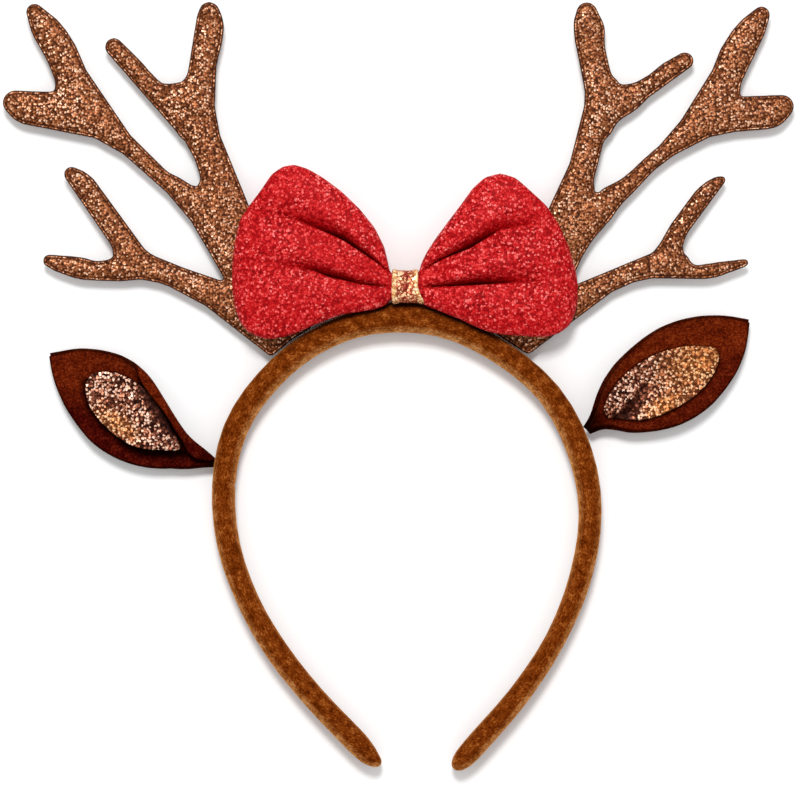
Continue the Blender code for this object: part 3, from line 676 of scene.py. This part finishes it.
# how deep the crease is at its start, as a share, and how fast it deepens and fades along its line
CREASE_START = 0.5
CREASE_DEEPENS = 8.0
CREASE_FADES = 1.6
SPOT_CURVE = 1.5
EAR_SHAPES = {
    "left": {
        "base": (-66.35, -27.66),
        "tip": (-125.6, 11.14),
        "slant": 0.5,
        "rows": (
            # along, below, above, rise below, rise above, roll, roll height, middle height
            (-0.4, 1.3, 1.5, 1.3, 1.5, 0.8, 1.9, 1.0),
            (4.0, 3.8, 2.2, 2.0, 2.2, 3.6, 3.6, 0.7),
            (8.0, 7.3, 2.5, 2.6, 2.6, 5.3, 5.4, 0.4),
            (11.3, 9.9, 2.8, 2.8, 2.9, 4.2, 6.4, 0.2),
            (14.0, 11.9, 3.4, 3.0, 3.2, 2.5, 7.0, 0.1),
            (19.0, 14.8, 5.4, 3.2, 3.5, 2.1, 7.2, 0.0),
            (24.7, 17.0, 8.1, 3.2, 3.7, 2.0, 7.2, 0.0),
            (30.6, 18.2, 10.9, 3.2, 3.9, 2.8, 7.0, 0.0),
            (35.0, 18.5, 12.9, 3.2, 4.0, 3.4, 6.4, 0.0),
            (38.5, 18.4, 13.9, 3.1, 3.9, 2.6, 5.4, 0.0),
            (42.0, 18.0, 14.4, 3.1, 3.8, 1.0, 4.4, 0.0),
            (49.0, 15.7, 14.2, 2.8, 3.3, 0.2, 3.4, 0.2),
            (56.0, 12.7, 11.8, 2.1, 2.4, 0.1, 2.5, 0.5),
            (63.0, 8.1, 8.0, 1.2, 1.4, 0.1, 1.5, 1.0),
            (67.5, 4.2, 3.7, 0.5, 0.5, 0.1, 0.6, 1.5),
            (70.4, 0.6, 0.6, 0.1, 0.1, 0.05, 0.2, 1.9),
        ),
        "patch": (
            # along, lowest, highest
            (13.2, -3.0, -2.2),
            (15.0, -4.8, -1.0),
            (18.5, -6.6, 1.4),
            (23.0, -9.4, 4.0),
            (28.0, -11.3, 6.4),
            (33.5, -11.4, 8.3),
            (38.0, -10.9, 8.8),
            (43.0, -9.9, 8.6),
            (48.0, -7.9, 7.6),
            (51.8, -4.8, 5.2),
            (54.2, -1.4, 2.2),
        ),
        # how dark the painted shade makes the felt at its pinched neck, by the distance along the
        # ear
        "neck_shade": ((0.0, 0.5), (3.0, 0.8), (7.0, 1.0)),
        # the shadow painted on the felt round the patch: along, black this far below it, where it
        # ends below it, and where it ends above it
        "patch_shadow": ((0.0, 2.4, 5.2, 0.9), (22.0, 2.2, 5.0, 0.9), (36.0, 0.6, 3.4, 0.9)),
        # the least and the most of the lighter, warmer of the felt's two browns
        "warmth_range": (0.0, 0.8),
    },
    "right": {
        "base": (68.3, -15.86),
        "tip": (126.2, 23.14),
        "slant": -0.25,
        "rows": (
            # along, below, above, rise below, rise above, roll, roll height, middle height
            (-0.4, 1.7, 1.9, 1.5, 1.7, 0.3, 2.4, 1.0),
            (4.0, 2.4, 3.7, 2.0, 3.0, 0.4, 4.4, 0.8),
            (7.0, 4.4, 6.0, 3.0, 4.0, 0.5, 5.2, 0.5),
            (10.4, 8.0, 9.2, 3.8, 4.7, 0.5, 5.6, 0.3),
            (14.0, 10.8, 11.6, 4.2, 5.0, 0.4, 5.6, 0.1),
            (21.0, 14.6, 14.4, 4.3, 4.8, 0.3, 5.2, 0.0),
            (28.0, 17.1, 15.7, 4.2, 4.5, 0.2, 4.8, 0.0),
            (35.0, 18.0, 16.4, 4.0, 4.2, 0.1, 4.4, 0.0),
            (42.0, 17.6, 16.2, 3.7, 3.8, 0.1, 4.0, 0.0),
            (49.0, 15.7, 14.6, 3.1, 3.2, 0.1, 3.4, 0.2),
            (56.0, 12.9, 11.7, 2.3, 2.3, 0.1, 2.5, 0.5),
            (62.5, 8.6, 7.6, 1.3, 1.3, 0.1, 1.4, 1.0),
            (66.6, 4.4, 4.0, 0.5, 0.5, 0.1, 0.6, 1.5),
            (69.6, 0.6, 0.6, 0.1, 0.1, 0.05, 0.2, 1.9),
        ),
        "patch": (
            # along, lowest, highest
            (8.4, -0.4, 2.2),
            (10.5, -2.2, 4.8),
            (14.0, -5.4, 7.0),
            (18.0, -8.3, 8.6),
            (23.0, -10.2, 9.6),
            (28.0, -11.1, 9.9),
            (33.5, -11.7, 9.5),
            (39.0, -11.6, 8.2),
            (45.0, -10.3, 5.8),
            (50.0, -7.9, 2.6),
            (53.0, -5.4, 0.0),
            (54.3, -3.5, -1.8),
        ),
        "neck_shade": ((0.0, 0.15), (4.0, 0.3), (8.0, 1.0)),
        "patch_shadow": ((0.0, 0.0, 1.6, 0.9), (40.0, 0.0, 1.6, 0.9)),
        "warmth_range": (0.45, 1.0),
        # the line of the crease, along and across, and how far the felt steps down there
        "crease": ((8.0, -2.6), (32.0, 4.0)),
        "crease_depth": 2.2,
    },
}
COOL_FELT_STOPS = (
    (0.40, (0.018, 0.0008, 0.0006)),
    (0.48, (0.038, 0.0018, 0.0010)),
    (0.54, (0.055, 0.0030, 0.0014)),
    (0.64, (0.095, 0.0090, 0.0030)),
)
WARM_FELT_STOPS = (
    (0.40, (0.050, 0.0042, 0.0008)),
    (0.48, (0.097, 0.0092, 0.0016)),
    (0.54, (0.126, 0.0130, 0.0021)),
    (0.64, (0.200, 0.0330, 0.0066)),
)
PINK_STOPS = (
    (0.0, (0.014, 0.0028, 0.0018)),
    (0.25, (0.064, 0.0150, 0.0080)),
    (0.5, (0.200, 0.0600, 0.0320)),
    (0.7, (0.400, 0.1400, 0.0720)),
    (0.85, (0.690, 0.3300, 0.2050)),
    (1.0, (0.970, 0.6800, 0.5200)),
)
GOLDEN_STOPS = (
    (0.0, (0.090, 0.0200, 0.0050)),
    (0.25, (0.170, 0.0470, 0.0110)),
    (0.5, (0.270, 0.0880, 0.0220)),
    (0.7, (0.410, 0.1400, 0.0360)),
    (0.85, (0.610, 0.2400, 0.0800)),
    (1.0, (0.850, 0.4900, 0.2300)),
)
# where painted shade dims each patch and where it is golden: along, across, reach along, reach
# across, how much
LEFT_PAINTED_SHADOW = (
    # painted shadow under the left ear's rolled edge
    (34.0, 9.2, 5.0, 3.2, 0.8),
    (29.5, 7.2, 5.0, 3.8, 0.9),
    (24.0, 4.8, 5.0, 3.4, 0.95),
    (19.0, 2.2, 5.0, 2.6, 0.95),
)
LEFT_GOLD = ((37.0, -8.0, 9.0, 4.0, 0.9),)
RIGHT_PAINTED_SHADE = (
    # painted shade below the right ear's crease
    (10.5, -3.0, 3.2, 2.6, 0.85),
    (14.5, -3.4, 3.2, 2.8, 0.85),
    (19.0, -1.6, 4.0, 2.4, 0.75),
    (24.5, 0.8, 4.0, 2.0, 0.6),
)
RIGHT_GOLD = ((48.0, -2.0, 17.0, 14.0, 0.95), (28.0, -9.0, 10.0, 5.0, 0.9))
PATCH_TONES = {"left": (LEFT_PAINTED_SHADOW, LEFT_GOLD), "right": (RIGHT_PAINTED_SHADE, RIGHT_GOLD)}


def felt():
    """Matted fibres in a darker brown and a lighter, warmer one, mixed by the warmth of each place.
    """
    finish, tree, shader = new_finish("red_brown_felt")
    place = add_node(tree, "TexCoord").outputs["Object"]
    fibres = noise_of(tree, place, FELT_FIBRE_SCALE, 3.0).outputs["Fac"]
    mottle = noise_of(tree, place, FELT_MOTTLE_SCALE, 4.0).outputs["Fac"]
    level = mix_of(tree, FELT_MOTTLE_SHARE, fibres, mottle)
    cool = ramp_of(tree, level, COOL_FELT_STOPS)
    warm = ramp_of(tree, level, WARM_FELT_STOPS)
    warmth = attribute_of(tree, "warmth").outputs["Fac"]
    colour = mix_of(tree, warmth, cool, warm, kind="RGBA")
    finish_pile(tree, shader, colour, "felt_shade", fibres, FELT_BUMP, FELT_SHEEN)
    return finish


def sheet_piece(name, spots, thickness):
    """A sheet of cloth whose middle runs through a grid of places, and the order of its corners."""
    rows, columns, _ = spots.shape
    sheet = bmesh.new()
    bmesh.ops.create_grid(sheet, x_segments=rows - 1, y_segments=columns - 1, size=0.5)
    corners = sorted(sheet.verts, key=lambda corner: (round(corner.co.x, 5), round(corner.co.y, 5)))
    for corner, spot in zip(corners, spots.reshape(-1, 3)):
        corner.co = spot
    bmesh.ops.recalc_face_normals(sheet, faces=sheet.faces[:])
    sheet.normal_update()
    if sum(face.normal.z for face in sheet.faces) < 0.0:
        bmesh.ops.reverse_faces(sheet, faces=sheet.faces[:])
    order = [corner.index for corner in corners]
    mesh = bpy.data.meshes.new(name)
    sheet.to_mesh(mesh)
    sheet.free()
    piece = add_object(name, mesh)
    mesh.shade_smooth()
    wall = piece.modifiers.new("wall", "SOLIDIFY")
    wall.thickness = thickness
    wall.offset = 0.0
    return piece, order


def colour_sheet(piece, order, name, values):
    """Puts a value on each corner of a sheet, from a grid of them."""
    ordered = np.empty(values.size)
    ordered[order] = values.ravel()
    add_attribute(piece, name, ordered)


def cut_corners(line):
    """One round of corner cutting on an open line of places. Its two ends stay."""
    ahead, behind = line[:-1] * 0.75 + line[1:] * 0.25, line[:-1] * 0.25 + line[1:] * 0.75
    between = np.stack([ahead, behind], axis=1).reshape(-1, line.shape[1])
    return np.vstack([line[:1], between, line[-1:]])


def evened(column, times):
    """A column of numbers with its corners evened out. Its two ends stay."""
    for _ in range(times):
        column[1:-1] = (column[:-2] + 2.0 * column[1:-1] + column[2:]) / 4.0
    return column


def ear_section(row):
    """Where the middle of the felt lies across the ear at one row: sideways and up."""
    _, below, above, rise_below, rise_above, roll, roll_height, middle = row
    felt_half = FELT_THICK / MM / 2
    lower_out, lower_up = EAR_LOWER_HALFWAY
    upper_out, upper_up = EAR_UPPER_HALFWAY
    steepness = (1.0 - lower_up) * rise_below / ((1.0 - lower_out) * below)
    below -= felt_half * math.sin(math.atan(steepness))
    rolled = min(roll / EAR_FULL_ROLL, 1.0)
    rim = [flat + (turned - flat) * rolled for flat, turned in zip(EAR_FLAT_RIM, EAR_ROLLED_RIM)]
    halfway = ((rim[0] + 1.0) / 2 * above, (rim[1] * rise_above + roll_height) / 2)
    line = np.array(
        (
            (-below, rise_below),
            (-lower_out * below, lower_up * rise_below),
            (0.0, 0.0),
            (upper_out * above, upper_up * rise_above),
            (rim[0] * above, rim[1] * rise_above),
            (
                halfway[0] + (above - halfway[0]) * rolled,
                halfway[1] + (roll_height - halfway[1]) * rolled,
            ),
            (above - roll * rolled, roll_height),
        )
    )
    for _ in range(EAR_ROUNDING):
        line = cut_corners(line)
    steepness = (roll_height - rim[1] * rise_above) / (above * (1.0 - rim[0]) + EAR_LEAST_RUN)
    outermost = above - felt_half * math.sin(math.atan(steepness))
    line[:, 0] = np.where(line[:, 0] > 0.0, line[:, 0] * outermost / line[:, 0].max(), line[:, 0])
    line[:, 1] += middle
    return line


def ear_spot(shape, along, sideways, up):
    """The place of a point of the ear from its measures along, across and up, in millimetres."""
    base, tip = np.array(shape["base"]), np.array(shape["tip"])
    forward = (tip - base) / np.linalg.norm(tip - base)
    upward = np.array((-forward[1], forward[0]))
    if upward[1] < 0.0:
        upward = -upward
    slide = shape["slant"] * sideways * np.maximum(0.0, 1.0 - along / EAR_SLANT_LENGTH)
    flat = base + np.multiply.outer(along + slide, forward) + np.multiply.outer(sideways, upward)
    high = EAR_UNDERSIDE / MM + FELT_THICK / MM / 2 + up
    return np.concatenate([flat, high[..., None]], axis=-1) * MM


def creased(shape, along, sideways):
    """How far the crease drops a point: sharply beside its line, and less and less below that."""
    if "crease" not in shape:
        return np.zeros(np.shape(sideways))
    (from_along, from_side), (to_along, to_side) = shape["crease"]
    share = (along - from_along) / (to_along - from_along)
    below = from_side + (to_side - from_side) * share - sideways
    step = np.clip(below / CREASE_STEP + 0.5, 0.0, 1.0)
    recovery = np.clip(1.0 - below / CREASE_RECOVERY, 0.0, 1.0) ** CREASE_CURVE
    deepening = np.clip(share * CREASE_DEEPENS + CREASE_START, 0.0, 1.0)
    fading = np.clip((1.0 - share) * CREASE_FADES, 0.0, 1.0)
    return shape["crease_depth"] * step * recovery * (deepening * fading)


def spread_of(spots, along, sideways):
    """How strongly a table of soft round spots shows at each place."""
    total = np.zeros(np.shape(along))
    for at_along, at_side, reach_along, reach_side, strength in spots:
        away = ((along - at_along) / reach_along) ** 2 + ((sideways - at_side) / reach_side) ** 2
        total = np.maximum(total, strength * np.exp(-(away**SPOT_CURVE)))
    return total


def make_ear(side, shape):
    """The felt leaf of an ear, through a section for each row, with its painted shade and its
    warmth.
    """
    table = np.array(shape["rows"])
    alongs = np.linspace(table[0, 0], table[-1, 0], EAR_ROWS)
    rows = [alongs]
    for column in range(1, table.shape[1]):
        rows.append(evened(np.interp(alongs, table[:, 0], table[:, column]), EAR_SMOOTHING))
    rows = np.array(rows).T
    sections = np.array([ear_section(row) for row in rows])
    along = np.repeat(alongs[:, None], sections.shape[1], axis=1)
    sideways = sections[..., 0]
    outermost = np.argmax(sideways, axis=1)[:, None]
    in_cup = np.arange(sections.shape[1])[None, :] <= outermost
    up = sections[..., 1] - np.where(in_cup, creased(shape, along, sideways), 0.0)
    ear, order = sheet_piece(
        "felt_ear_" + side, ear_spot(shape, along, sideways, up), FELT_THICK
    )

    steps = np.hypot(np.diff(sideways, axis=1), np.diff(up, axis=1))
    across = np.concatenate([np.zeros((len(alongs), 1)), np.cumsum(steps, axis=1)], axis=1)
    to_cut = np.minimum(np.minimum(across, across[:, -1:] - across), alongs[-1] - along)
    # the felt is darkened by painted shade at its cut edge, at its pinched neck, round the patch and
    # under the rolled edge
    felt_shade = read_off(CUT_EDGE_SHADE, to_cut)
    felt_shade *= read_off(shape["neck_shade"], along)
    patch = np.array(shape["patch"])
    loop = [tuple(row) for row in patch[:, :2]] + [tuple(row) for row in patch[::-1, ::2]]
    away = distance_to_lines(along, sideways, list(zip(loop, loop[1:] + loop[:1])))
    middle = np.interp(alongs, patch[:, 0], patch[:, 1:].mean(axis=1))[:, None]
    shadow = np.array(shape["patch_shadow"])
    black, end_below, end_above = [np.interp(along, shadow[:, 0], column) for column in shadow.T[1:]]
    below = sideways < middle
    reach = np.where(below, end_below - black, end_above)
    clear = away - np.where(below, black, 0.0)
    round_patch = np.clip(PATCH_EDGE_SHADE + clear / reach, FELT_DARKEST, 1.0)
    felt_shade *= np.where(in_cup, round_patch, 1.0)
    roll_edge = sideways[:, -1:]
    under_roll = read_off(UNDER_ROLL_SHADE, roll_edge - sideways)
    rolled = np.interp(rows[:, [ROLL_COLUMN]], LEAST_ROLL, (0.0, 1.0))
    felt_shade *= np.where(in_cup, 1.0 + (under_roll - 1.0) * rolled, 1.0)
    colour_sheet(ear, order, "felt_shade", felt_shade)
    # the felt is lighter and warmer towards the upper rim and the tip, and darker towards the lower
    # rim
    warmth = WARMTH_MIDDLE + sideways / WARMTH_ACROSS + (along - WARMTH_ALONG[0]) / WARMTH_ALONG[1]
    colour_sheet(ear, order, "warmth", np.clip(warmth, *shape["warmth_range"]))
    return ear, rows, sections


def make_patch(side, shape, rows, sections):
    """The lining patch, which lies on the felt's inner face. It reads its height off the ear."""
    table = np.array(shape["patch"])
    alongs = np.linspace(table[0, 0], table[-1, 0], PATCH_ROWS)
    shares = (1.0 - np.cos(np.linspace(0.0, np.pi, PATCH_COLUMNS))) / 2.0
    lift = (FELT_THICK + PATCH_THICK) / MM / 2 + PATCH_LIFT / MM
    lowest = evened(np.interp(alongs, table[:, 0], table[:, 1]), PATCH_ROUNDING)
    highest = evened(np.interp(alongs, table[:, 0], table[:, 2]), PATCH_ROUNDING)
    puff = PATCH_PUFF / MM * np.sin(np.pi * shares) ** PATCH_PUFF_CURVE
    spots, measures = [], []
    for along, low, high in zip(alongs, lowest, highest):
        line = sections[np.argmin(abs(rows[:, 0] - along))]
        outermost = np.argmax(line[:, 0])
        sideways = low + (high - low) * shares
        up = np.interp(sideways, line[: outermost + 1, 0], line[: outermost + 1, 1])
        slope = np.gradient(up, sideways)
        lean = 1.0 / np.hypot(1.0, slope)
        off = lift + puff * min(1.0, (high - low) / PATCH_FULL_WIDTH)
        row = np.full(len(up), along)
        up -= creased(shape, row, sideways)
        spots.append(ear_spot(shape, row, sideways - slope * lean * off, up + lean * off))
        measures.append(np.stack([row, sideways], axis=1))
    patch, order = sheet_piece("glitter_patch_" + side, np.array(spots), PATCH_THICK)
    along, sideways = np.moveaxis(np.array(measures), 2, 0)
    dim, gold = PATCH_TONES[side]
    # painted shade dims the patch under the roll and below the crease
    colour_sheet(patch, order, "patch_shade", 1.0 - spread_of(dim, along, sideways))
    colour_sheet(patch, order, "golden", spread_of(gold, along, sideways))
    return patch


ear_felt = felt()
pale_copper = glitter(
    "pale_copper_glitter",
    flat=True,
    flake=0.95 * MM,
    ground=0.9,
    stops=PINK_STOPS,
    tilt=0.6,
    metal=0.3,
    roughness=0.35,
    gloss=0.05,
    contrast=(0.6, 1.1),
    shade="patch_shade",
    shade_stops=((0.0, 0.0), (1.0, 1.0)),
    other=("golden", GOLDEN_STOPS),
)
for side, shape in EAR_SHAPES.items():
    ear, rows, sections = make_ear(side, shape)
    settle(ear, ear_felt, "ear_felt", "ear_" + side)
    patch = make_patch(side, shape, rows, sections)
    settle(patch, pale_copper, "patch_glitter", "ear_patch_" + side)


# The bow is a padded strip of red glitter cloth drawn in at its middle, with two deep folds
# running out of the waist into each loop. Each fold has a long slope on its upper side and a
# steep lip on its lower side.
BOW_CELL = 0.6 * MM
BOW_SOFTENING = 14
# heights in millimetres: where the folds begin, the least that they leave of the front, and how
# far above the first they press in full
BOW_BACK = 9.0
BOW_LEAST_FRONT = 9.4
BOW_FRONT_FADE = 3.0
BOW_FOLDS = (
    # the line of each fold, from the waist out: x, y, how deep it presses, how wide its slope is
    (
        (-2.6, 39.9, 1.4, 1.0),
        (-8.4, 44.2, 4.2, 2.4),
        (-13.8, 47.8, 6.2, 3.6),
        (-19.2, 51.4, 7.2, 5.2),
        (-24.6, 53.9, 6.4, 6.4),
        (-30.0, 56.1, 4.8, 7.2),
        (-35.4, 58.6, 3.4, 7.5),
        (-42.0, 60.6, 2.2, 7.5),
        (-50.0, 61.8, 1.2, 7.0),
        (-58.0, 62.0, 0.0, 7.0),
    ),
    (
        (-2.6, 35.2, 1.2, 0.9),
        (-13.8, 35.9, 4.4, 2.4),
        (-19.2, 37.3, 6.0, 3.6),
        (-24.6, 38.4, 6.2, 4.4),
        (-30.0, 40.6, 4.4, 5.2),
        (-35.4, 41.7, 2.8, 5.6),
        (-42.0, 42.6, 1.6, 5.6),
        (-54.0, 43.0, 0.0, 5.6),
    ),
    (
        (8.5, 40.9, 1.4, 1.0),
        (15.0, 44.5, 4.4, 2.8),
        (20.4, 46.7, 6.4, 4.0),
        (25.8, 48.9, 6.8, 5.2),
        (31.2, 52.1, 5.8, 6.4),
        (36.6, 55.3, 4.0, 7.2),
        (43.8, 56.8, 2.6, 7.2),
        (57.0, 56.8, 0.0, 7.2),
    ),
    (
        (8.9, 35.2, 1.2, 0.9),
        (18.6, 35.2, 4.8, 2.8),
        (25.8, 35.5, 6.4, 4.0),
        (33.0, 35.9, 6.0, 5.2),
        (40.2, 36.3, 4.0, 6.0),
        (47.0, 36.8, 2.0, 6.4),
        (58.0, 37.2, 0.0, 6.4),
    ),
)
FOLD_STEEP_SIDE = 1.5
FOLD_OVERHANG = 1.5
FOLD_OVERHANG_DEPTH = 4.0
FOLD_CURVE = 1.3
FOLD_DARK_DEPTH = 5.9
# how deep in a fold, as a share of FOLD_DARK_DEPTH, and how bright the flakes are under the shade
# painted there
FOLD_SHADE = ((0.0, 1.0), (0.15, 0.95), (0.5, 0.66), (0.85, 0.28), (1.0, 0.05))
RED_STOPS = (
    (0.0, (0.130, 0.0004, 0.0012)),
    (0.25, (0.290, 0.0012, 0.0030)),
    (0.5, (0.480, 0.0055, 0.0075)),
    (0.75, (0.640, 0.0320, 0.0320)),
    (0.9, (0.730, 0.0980, 0.0940)),
    (1.0, (0.820, 0.2000, 0.1850)),
)


def press_folds(places):
    """Presses the folds into the front of the bow. It also gives how deep each point is in one."""
    x, y, z = places.T / MM
    front = np.clip((z - BOW_BACK) / BOW_FRONT_FADE, 0.0, 1.0)
    press, push = np.zeros(len(x)), np.zeros(len(x))
    for fold in BOW_FOLDS:
        table = np.array(sorted(fold))
        line = np.interp(x, table[:, 0], table[:, 1])
        depth = np.interp(x, table[:, 0], table[:, 2], left=0.0, right=0.0)
        slope = np.interp(x, table[:, 0], table[:, 3])
        away = y - line
        share = np.where(away > 0.0, away / slope, -away / FOLD_STEEP_SIDE)
        press = np.maximum(press, depth * np.clip(1.0 - share, 0.0, 1.0) ** FOLD_CURVE)
        lip = np.exp(-(((away + FOLD_STEEP_SIDE) / FOLD_STEEP_SIDE) ** 2))
        overhang = FOLD_OVERHANG * np.clip(depth / FOLD_OVERHANG_DEPTH, 0.0, 1.0)
        push = np.maximum(push, overhang * lip)
    dropped = np.minimum(press * front, np.maximum(z - BOW_LEAST_FRONT, 0.0))
    places[:, 2] -= dropped * MM
    places[:, 1] += push * front * MM
    return places, press * front


bow = fine_copy("padded_bow", "bow", BOW_CELL, BOW_SOFTENING)
places, press = press_folds(points_of(bow))
put_points(bow, places)
# shade is painted on the flakes deep in the folds
add_attribute(bow, "in_fold", press / FOLD_DARK_DEPTH)
red_glitter = glitter(
    "red_glitter",
    flat=False,
    flake=0.8 * MM,
    ground=0.4,
    stops=RED_STOPS,
    tilt=0.4,
    metal=0.05,
    roughness=0.5,
    gloss=0.06,
    contrast=(0.55, 0.85),
    shade="in_fold",
    shade_stops=FOLD_SHADE,
)
settle(bow, red_glitter, "bow_glitter", "bow")


# A short strip of gold glitter cloth is wrapped round the waist and glued behind it. Its two
# cut edges are bound, and stand a little proud. It leans out to the right at the bottom.
KNOT_CELL = 0.3 * MM
KNOT_SOFTENING = 2
# the middle of the bow's waist, towards the antlers and up
WAIST_CENTRE = (35.5 * MM, 11.4 * MM)
KNOT_SIDES = (-2.6 * MM, 7.1 * MM)
BINDING_WIDTH = 1.7 * MM
BINDING_SPREAD = 0.7
BINDING_PROUD = 0.4 * MM
KNOT_LEAN = (
    # below the middle, how far the left binding moves right, and how far the right one does
    (-6.0, 0.4, 0.1),
    (0.0, 0.1, 0.0),
    (3.0, 0.1, 0.9),
    (6.0, 0.4, 2.6),
)
# where the strip turns in under the bow and shade is painted on it: below its middle, over what
# length, and how bright it is
KNOT_LOW = 2.5
KNOT_LOW_LENGTH = 3.0
KNOT_LOW_SHADE = ((0.0, 1.0), (1.0, 0.55))
GOLD_STOPS = (
    (0.0, (0.130, 0.0060, 0.0040)),
    (0.25, (0.340, 0.0460, 0.0220)),
    (0.5, (0.600, 0.1950, 0.0850)),
    (0.75, (0.820, 0.4400, 0.2200)),
    (1.0, (1.0, 0.7800, 0.4800)),
)
BINDING_STOPS = (
    (0.0, (0.420, 0.1200, 0.0400)),
    (0.3, (0.800, 0.4200, 0.1600)),
    (0.7, (0.960, 0.7200, 0.3600)),
    (1.0, (1.0, 0.9200, 0.6600)),
)

knot = fine_copy("gold_wrap", "bow_knot", KNOT_CELL, KNOT_SOFTENING)
places = points_of(knot)
from_side = np.minimum(places[:, 0] - KNOT_SIDES[0], KNOT_SIDES[1] - places[:, 0])
off_binding = (from_side - BINDING_WIDTH / 2) / (BINDING_WIDTH * BINDING_SPREAD)
bound = np.clip(1.0 - off_binding**2, 0.0, 1.0)
outward = places[:, 1:] - WAIST_CENTRE
outward /= np.linalg.norm(outward, axis=1)[:, None]
places[:, 1:] += outward * (bound * BINDING_PROUD)[:, None]
below_middle = (WAIST_CENTRE[0] - places[:, 1]) / MM
at, left_lean, right_lean = np.array(KNOT_LEAN).T
share = (places[:, 0] - KNOT_SIDES[0]) / (KNOT_SIDES[1] - KNOT_SIDES[0])
lean = np.interp(below_middle, at, left_lean) * (1.0 - share)
lean += np.interp(below_middle, at, right_lean) * share
places[:, 0] += lean * MM
put_points(knot, places)
add_attribute(knot, "binding", bound)
# shade is painted on the strip where it turns in under the bow
low = np.clip((below_middle - KNOT_LOW) / KNOT_LOW_LENGTH, 0.0, 1.0)
add_attribute(knot, "low", low * (1.0 - bound))
gold_glitter = glitter(
    "gold_glitter",
    flat=False,
    flake=0.85 * MM,
    ground=0.75,
    stops=GOLD_STOPS,
    tilt=0.6,
    metal=0.3,
    roughness=0.35,
    gloss=0.15,
    contrast=(0.7, 1.0),
    shade="low",
    shade_stops=KNOT_LOW_SHADE,
    other=("binding", BINDING_STOPS),
)
settle(knot, gold_glitter, "knot_glitter", "bow_knot")
